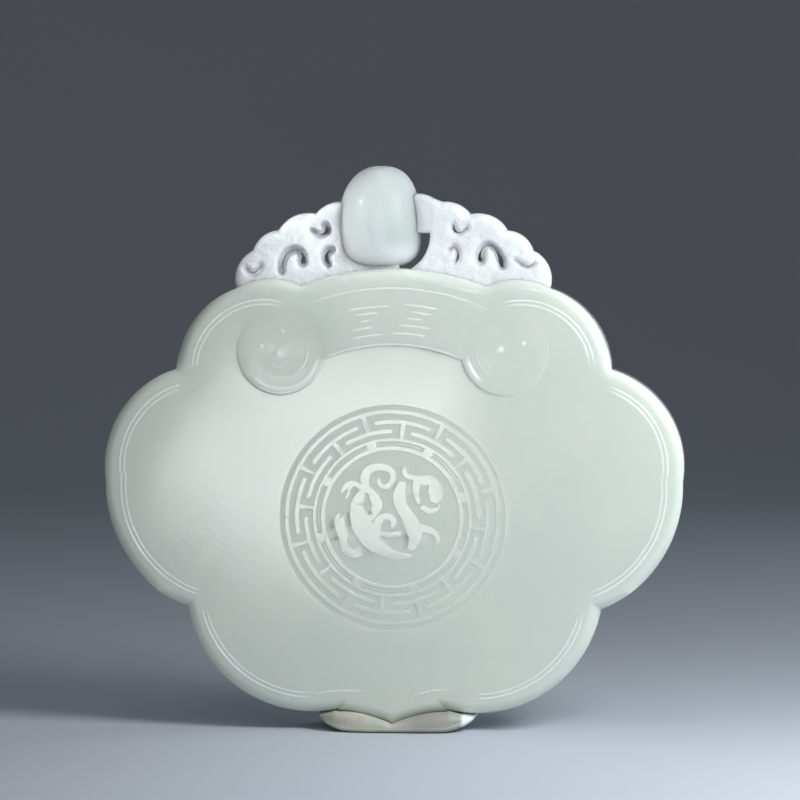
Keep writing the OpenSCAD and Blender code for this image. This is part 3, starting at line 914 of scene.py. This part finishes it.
def matte_share(p):
    """The matte ground of the medallion and of the left scroll, but for its polished middle."""
    q = to_left(p)
    scroll = sunk_share(q) * smooth(-disc_depth(q, SCROLL, 0.7) / 0.2)
    return np.maximum(ground(p), scroll * lower_share(q) * (1 - worn(p)))


def painted_glint_share(p):
    """1 along the thin ridges and on the small domes, whose colour is whitened there as a painted highlight.
    """
    return np.clip((ridge_height(p) + dome_height(p)) / 0.07, 0, 1)


fill = loose_points((-28, 28), (0, 46), step=0.9, shake=0.2, waves=7.1)
net.scatter(fill[plaque_depth(fill) > 2.4])
points, triangles = net.triangles(plaque_depth)
plaque = stone_plate("plaque_stone", points, triangles, plaque_front, plaque_back, LIFT,
                     {"matte": matte_share, "line": painted_glint_share}, PLAQUE_JADE)
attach(plaque, "root")
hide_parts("plaque")

# %% [markdown]
# ## The bead
#
# The egg-shaped bead is a profile turned about its axis: a superellipse that is widest a
# third of the way up. It was shaped by hand, so its top leans a little to the right.

# %% Bead
def grid_surface(name, x, y, z, finish):
    """A closed surface from a grid of points: columns go round, the first and last row are poles."""
    rows, cols = x.shape
    pts = np.stack([x, y, z], -1)
    verts = np.concatenate([pts[:1, 0], pts[1:-1].reshape(-1, 3), pts[-1:, 0]])
    i, j = np.meshgrid(np.arange(rows - 3), np.arange(cols), indexing="ij")
    a = 1 + i * cols + j
    b = 1 + i * cols + (j + 1) % cols
    quads = np.stack([a, b, b + cols, a + cols], -1).reshape(-1, 4)
    j = np.arange(cols)
    top = 1 + (rows - 3) * cols
    first = np.stack([np.zeros(cols, int), 1 + (j + 1) % cols, 1 + j], -1)
    last = np.stack([np.full(cols, len(verts) - 1), top + j, top + (j + 1) % cols], -1)
    piece = add_mesh(name, verts, quads.tolist() + first.tolist() + last.tolist())
    piece.data.materials.append(finish)
    print(name, "has", len(quads) * 2 + len(first) + len(last), "triangles")
    return piece


# Radius, height, place across, and the gap round it in its seat
BEAD_R, BEAD_H, BEAD_X, BEAD_GAP = 4.0, 9.75, -1.45, 0.02
# Share of the height at the waist, and the superellipse's powers above and below it
BEAD_WAIST, BEAD_POWER, FOOT_POWER = 0.36, 2.4, 3.2
# Depth from front to back as a share of the width, and how far the top leans
BEAD_FLAT, BEAD_LEAN = 0.985, 0.14
BEAD_Z = CENTRE[1] + ARCH_R + 0.12


def bead_half(z):
    """Half width at a height: r (1 - t^n)^(1/n), t going from 0 at the waist to 1 at either end,
    with a larger n and so a flatter end below."""
    low = BEAD_WAIST * BEAD_H
    t = np.clip(np.where(z < low, (low - z) / low, (z - low) / (BEAD_H - low)), 0, 1)
    n = np.where(z < low, FOOT_POWER, BEAD_POWER)
    return BEAD_R * np.maximum(1 - t**n, 0) ** (1 / n)


rows, cols = 97, 128
z = BEAD_H * (1 - np.cos(np.linspace(0, np.pi, rows)))[:, None] / 2
turn = np.linspace(0, 2 * np.pi, cols, endpoint=False)[None, :]
r = bead_half(z)
lean = BEAD_LEAN * smooth((z - 6.6) / 3.2)
bead = grid_surface("bead_stone", BEAD_X + lean + r * np.cos(turn), BEAD_FLAT * r * np.sin(turn),
                    BEAD_Z + LIFT + z + 0 * turn, BEAD_JADE)
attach(bead, "root")
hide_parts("bead")

# %% [markdown]
# ## The crown
#
# The crown is a thinner plate behind the plaque's top, with a knobbly outline and four curls
# in each half. A curl is a wide soft groove, with a narrow slot cut right through on part of
# its floor, and a crescent beside the bead is cut through too. Edges and grooves are worn
# round, the small curls on the right are worn shallow, and the surface is lumpy. The same two
# steps make it: a depth function for the outline and the holes, then a net of lines that
# follow them.

# %% Outline and piercings of the crown
# Half width, middle, height of the foot on the plan, half thickness, and how far the crown
# runs on inside the plaque's outline
CROWN_HALF, CROWN_X, CROWN_Z, CROWN_T, TUCK = 15.25, -0.15, CENTRE[1] + ARCH_R, 2.0, 1.3
# The outline's bumps, outermost first: x, z and radius
BUMPS = np.array([[0.799, -0.040, 0.111], [0.714, 0.032, 0.098], [0.539, 0.075, 0.114],
                  [0.331, 0.125, 0.104], [0.156, 0.164, 0.093]]) * [CROWN_HALF, HALF_W, HALF_W]
BUMPS += [0, CROWN_Z, 0]
BODY = [[-3, CROWN_Z - 4], [BUMPS[0, 0], CROWN_Z - 4], *BUMPS[:, :2].tolist(), [-3, BUMPS[4, 1]]]
BODY_GROWN = 2.55


def crown_outer(p):
    """Depth inside the crown's outline: its bumps, and the body between them grown outwards."""
    q = to_right(p - [CROWN_X, 0])
    deep = polygon_depth(q, np.array(BODY)) + BODY_GROWN
    for x, z, r in BUMPS:
        deep = np.maximum(deep, disc_depth(q, (x, z), r))
    return deep


# The curls, left half first: how deep each groove is, then its rows of x, z, half width of the
# groove and half width of the slot
GROOVE_DEPTHS = [0.9, 0.9, 0.9, 0.3, 0.18, 0.22, 0.6, 0.18]
CURLS = [
    [(-7.84, 47.79, 0.24, 0.02), (-7.38, 47.42, 0.33, 0.02), (-6.94, 47.41, 0.38, 0.06),
     (-6.52, 47.74, 0.42, 0.22), (-6.63, 48.25, 0.36, 0.04)],
    [(-6.01, 45.89, 0.36, 0.02), (-6.4, 45.73, 0.44, 0.06), (-6.6, 45.29, 0.44, 0.2),
     (-6.5, 44.86, 0.38, 0.18), (-6.3, 44.52, 0.3, 0.04)],
    [(-10.86, 43.9, 0.36, 0.02), (-10.83, 44.81, 0.47, 0.05), (-10.5, 45.44, 0.45, 0.03),
     (-10.04, 45.79, 0.42, 0.02), (-9.55, 45.92, 0.39, 0.02), (-9.07, 45.68, 0.46, 0.05),
     (-8.82, 45.24, 0.52, 0.14), (-8.84, 44.81, 0.55, 0.28)],
    [(-14.31, 44.13, 0.3, 0.02), (-14.02, 43.79, 0.34, 0.02), (-13.58, 43.7, 0.36, 0.02),
     (-13.14, 43.99, 0.34, 0.02), (-12.9, 44.42, 0.28, 0.02)],
    [(5.77, 48.4, 0.25, 0.02), (5.85, 47.86, 0.28, 0.12), (6.35, 47.57, 0.26, 0.02),
     (6.89, 47.81, 0.24, 0.02), (7.13, 48.1, 0.2, 0.02)],
    [(5.38, 45.97, 0.22, 0.02), (5.87, 46.21, 0.25, 0.02), (6.21, 45.77, 0.26, 0.04),
     (6.21, 45.19, 0.26, 0.1), (5.97, 44.71, 0.22, 0.02)],
    [(8.34, 45.0, 0.5, 0.22), (8.29, 45.43, 0.48, 0.12), (8.54, 46.02, 0.36, 0.02),
     (9.07, 46.4, 0.32, 0.02), (9.7, 46.11, 0.34, 0.03), (10.09, 45.53, 0.38, 0.1),
     (10.33, 44.9, 0.42, 0.24), (10.43, 44.41, 0.36, 0.16)],
    [(11.79, 45.0, 0.2, 0.02), (12.27, 44.66, 0.25, 0.02), (12.85, 44.37, 0.25, 0.02),
     (13.39, 44.46, 0.22, 0.02), (13.68, 44.8, 0.18, 0.02)],
]
GROOVES = [smooth_stroke(rows)[:, :3] for rows in CURLS]
CUTS = [smooth_stroke(rows)[:, [0, 1, 3]] for rows in CURLS]

# The crescent's outer arc, x, z and radius, and the level and the upright that limit it
CRESCENT = (BEAD_X + 0.3 * BEAD_R, BEAD_Z + 0.315 * BEAD_H, 0.94 * BEAD_R)
CRESCENT_TOP, CRESCENT_X = BEAD_Z + 0.335 * BEAD_H, BEAD_X + 1.9


def crescent_depth(p):
    """Depth inside the crescent beside the bead."""
    box = np.minimum(CRESCENT_TOP - p[..., 1], p[..., 0] - CRESCENT_X)
    return np.minimum(disc_depth(p, CRESCENT[:2], CRESCENT[2]), box)


def crown_holes(p):
    """Depth inside everything that is cut right through."""
    deep = crescent_depth(p)
    for cut in CUTS:
        deep = np.maximum(deep, brush_depth(p, cut))
    return deep


print(len(CUTS), "piercings")

# %% Surface of the crown
def lumps(p, scale, seed):
    """Smooth bumps between -1 and 1: a sum of four slanting waves."""
    total = 0
    for k, turn in enumerate(np.array([0.3, 1.9, 2.8, 4.4]) + seed):
        along = p[..., 0] * np.cos(turn) + p[..., 1] * np.sin(turn)
        total = total + np.sin(along * (1 + 0.37 * k) / scale + 5 * turn)
    return total / 4


def arm_share(p):
    """1 on the two smooth arms at the bead's sides, fading outwards."""
    d = np.abs(p[..., 0] - BEAD_X - 0.2) - BEAD_R
    return smooth((3.0 - d) / 2.4) * smooth((p[..., 1] - CROWN_Z - 2.6) / 1.8)


def frost_share(p):
    """1 where the crown is left frosted, 0 on its arms."""
    return 1 - arm_share(p)


def groove_drop(p):
    """How deep the grooves are cut, with soft sides: the deepest counts."""
    return np.max([deep * smooth(brush_depth(p, groove) / 0.3 + 0.8)
                   for deep, groove in zip(GROOVE_DEPTHS, GROOVES)], axis=0)


def painted_groove_shade(p):
    """Painted shade: 1 on the floor of the deepest grooves, where the colour is greyed, 0 outside them."""
    return groove_drop(p) / max(GROOVE_DEPTHS)


def arm_fall(p):
    """How far each arm falls back towards the bead, so that it dies into the bead's round side."""
    d = np.abs(p[..., 0] - BEAD_X) - BEAD_R
    return 0.4 * smooth((1.6 - d) / 2.2) * smooth((p[..., 1] - CROWN_Z - 2.2) / 1.8)


def crown_front(p):
    """How far the crown's face stands out: round edges, grooves, lumps and falling arms."""
    edge = rounded(crown_outer(p), 0.8) * 0.8 + groove_drop(p) + 0.8 * rounded(-crescent_depth(p), 0.4)
    rough = 0.07 * lumps(p, 0.62, 0.0) + 0.05 * lumps(p, 0.27, 1.3)
    return CROWN_T - np.minimum(edge, 1.9) + rough * (1 - arm_share(p)) - arm_fall(p)


# %% [markdown]
# The bead lies in a seat hollowed to its own shape, so the crown's face closes on the bead with
# no gap to be seen. Seen from the front, the seat opens where the bead's round comes through
# the crown's face. Behind the middle it is cut straight out to the back.

# %% The bead's seat
def seat_half(z):
    """Half width of the seat at a height on the plan."""
    share = (z - BEAD_Z + BEAD_GAP) / (1 + 2 * BEAD_GAP / BEAD_H)
    inside = (share > 0) & (share < BEAD_H)
    return np.where(inside, bead_half(np.clip(share, 0, BEAD_H)) * (1 + BEAD_GAP / BEAD_R), 0)


def seat_reach(p):
    """How far the seat's hollow comes forward of the middle plane, and -1 beside it."""
    d = np.abs(p[..., 0] - BEAD_X)
    s = seat_half(p[..., 1])
    return np.where(d < s, np.sqrt(np.maximum(s * s - d * d, 0)), -1)


def crown_back(p):
    """The back, which inside the seat is the hollow itself."""
    edge = rounded(crown_outer(p), 1.1) * 0.9 + rounded(-crown_holes(p), 0.35)
    plain = CROWN_T - np.minimum(edge, 1.5) + 0.07 * lumps(p, 0.7, 2.0)
    reach = seat_reach(p)
    return np.where(reach > 0, -reach, plain)


def seat_opening(side):
    """The line where the hollow meets the face, on one side: found on each row by halving."""
    z = np.linspace(BEAD_Z + 0.02, BEAD_Z + 7.6, 90)

    def place(half):
        return np.stack([BEAD_X + side * half, z], -1)

    half = halve(np.zeros(len(z)), seat_half(z), 24,
                 lambda half: seat_reach(place(half)) > crown_front(place(half)) - 0.04)
    return place(half)[half > 0.02]


left, right = seat_opening(-1), seat_opening(1)
OPENING = np.concatenate([right, [[right[-1, 0], 60], [left[-1, 0], 60]], left[::-1]])


def crown_depth(p):
    """Depth inside the stone of the crown, which ends TUCK inside the plaque's outline."""
    deep = np.minimum(crown_outer(p), -np.maximum(crown_holes(p), polygon_depth(p, OPENING)))
    return np.minimum(deep, TUCK - plaque_depth(p))


print("the seat opens between", OPENING.min(0).round(2), "and", OPENING.max(0).round(2))

# %% The crown
net = Net()
half_about = np.radians(np.arange(-30, 210.1, 0.6))
for level in (0, 0.03, 0.11, 0.25, 0.45, 0.7, 1.0):
    net.line(inner_line(crown_outer, level, np.array([CROWN_X, 38.0]), half_about, 26))
for cut in CUTS:
    for grow in (0, 0.03):
        net.line(stroke_outline(cut, grow), closed=True)
for groove in GROOVES:
    for grow in (-0.06, 0.01, 0.09, 0.17, 0.24):
        net.line(stroke_outline(groove, grow), closed=True)
for grow in (0, 0.03, 0.1, 0.22, 0.4):
    net.line(arc(CRESCENT[:2], CRESCENT[2] + grow, -110, 70, 0.3))
net.line(OPENING, closed=True)
seat_rows = np.linspace(BEAD_Z - BEAD_GAP + 0.01, BEAD_Z + 7.6, 80)
for side in (-1, 1):
    for grow in (-0.3, -0.08, -0.01, 0.01):
        half = np.maximum(seat_half(seat_rows) + grow, 0.03)
        net.line(np.stack([BEAD_X + side * half, seat_rows], -1))
net.line(inner_line(plaque_depth, TUCK, CENTRE, np.radians(np.arange(40, 140.1, 0.6)), REACH))
net.line(np.array([[BEAD_X, CRESCENT_TOP], [BEAD_X + 6, CRESCENT_TOP]]))
fill = loose_points((-16, 16), (38, 54), step=0.3, shake=0.07, waves=23.1)
net.scatter(fill[crown_depth(fill) > 0.1])
points, triangles = net.triangles(crown_depth)
crown = stone_plate("crown_stone", points, triangles, crown_front, crown_back, LIFT,
                    {"frost": frost_share, "hollow": painted_groove_shade}, CROWN_JADE)
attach(crown, "root")
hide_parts("plaque")

# %% [markdown]
# ## The pad
#
# The pad is a low form with turned-up round ends and a rather square plan. Its top is pressed
# to the plaque's lower outline, so that a valley takes the cusp, with a low lip in front and
# behind. A flattened ball does it: rings of points run from the middle of the underside out to
# the rim and back to the middle of the top.

# %% Pad
# Middle, width, depth from front to back, power of the plan's superellipse
PAD_X, PAD_W, PAD_D, PAD_POWER = 0.35, 15.4, 10.0, 3.4
# Gap under the plaque, the seat's greatest height, height of the lip
SEAT_GAP, SEAT_MOST, LIP = 0.03, 2.0, 0.27


def seat_height(x):
    """Height above the floor of the plaque's lower outline at x, less a small gap."""
    x = np.abs(x)
    lobe_x, lobe_z, lobe_r = LOBES[2]
    lobe = lobe_z - np.sqrt(np.maximum(lobe_r**2 - (x - lobe_x) ** 2, 0))
    cusp = CUSP_Z + np.sqrt(np.maximum(CUSP_R**2 - (x - CUSP_X) ** 2, 0))
    low = np.where(x < CUSP_HALF, np.minimum(cusp, lobe), lobe)
    return np.minimum(low + LIFT - SEAT_GAP, SEAT_MOST)


rows, cols = 90, 192
turn = np.linspace(0, 2 * np.pi, cols, endpoint=False)[None, :]
outwards = np.sin(np.linspace(0, np.pi / 2, rows // 2))
inwards = np.sin(np.linspace(np.pi / 2, 0, rows // 2))
share = np.concatenate([outwards, inwards])[:, None]
is_top = (np.arange(rows) >= rows // 2)[:, None]
square = (np.abs(np.cos(turn)) ** PAD_POWER + np.abs(np.sin(turn)) ** PAD_POWER) ** (-1 / PAD_POWER)
x = PAD_X + PAD_W / 2 * share * np.cos(turn) * square
y = PAD_D / 2 * share * np.sin(turn) * square
# The ends turn up: heights of the widest line and of the underside rise with over
over = np.clip((np.abs(x - PAD_X) - 4.6) / 3.1, 0, 1)
middle = 0.42 + 1.05 * over**1.5
under = 1.0 * over**1.8
top = np.maximum(seat_height(x) + LIP * smooth((np.abs(y) - 2.6) / 1.2), middle)
bulge = np.maximum(1 - share**12, 0) ** (1 / 2.4)
z = np.where(is_top, middle + (top - middle) * bulge, middle - (middle - under) * bulge)
pad = grid_surface("pad_form", x, y, z, PAD_SATIN)
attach(pad, "root")
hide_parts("pad")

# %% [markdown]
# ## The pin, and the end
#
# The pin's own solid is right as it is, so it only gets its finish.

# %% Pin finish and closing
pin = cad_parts["pin"]
pin.data.materials.clear()
pin.data.materials.append(PIN_PALE)
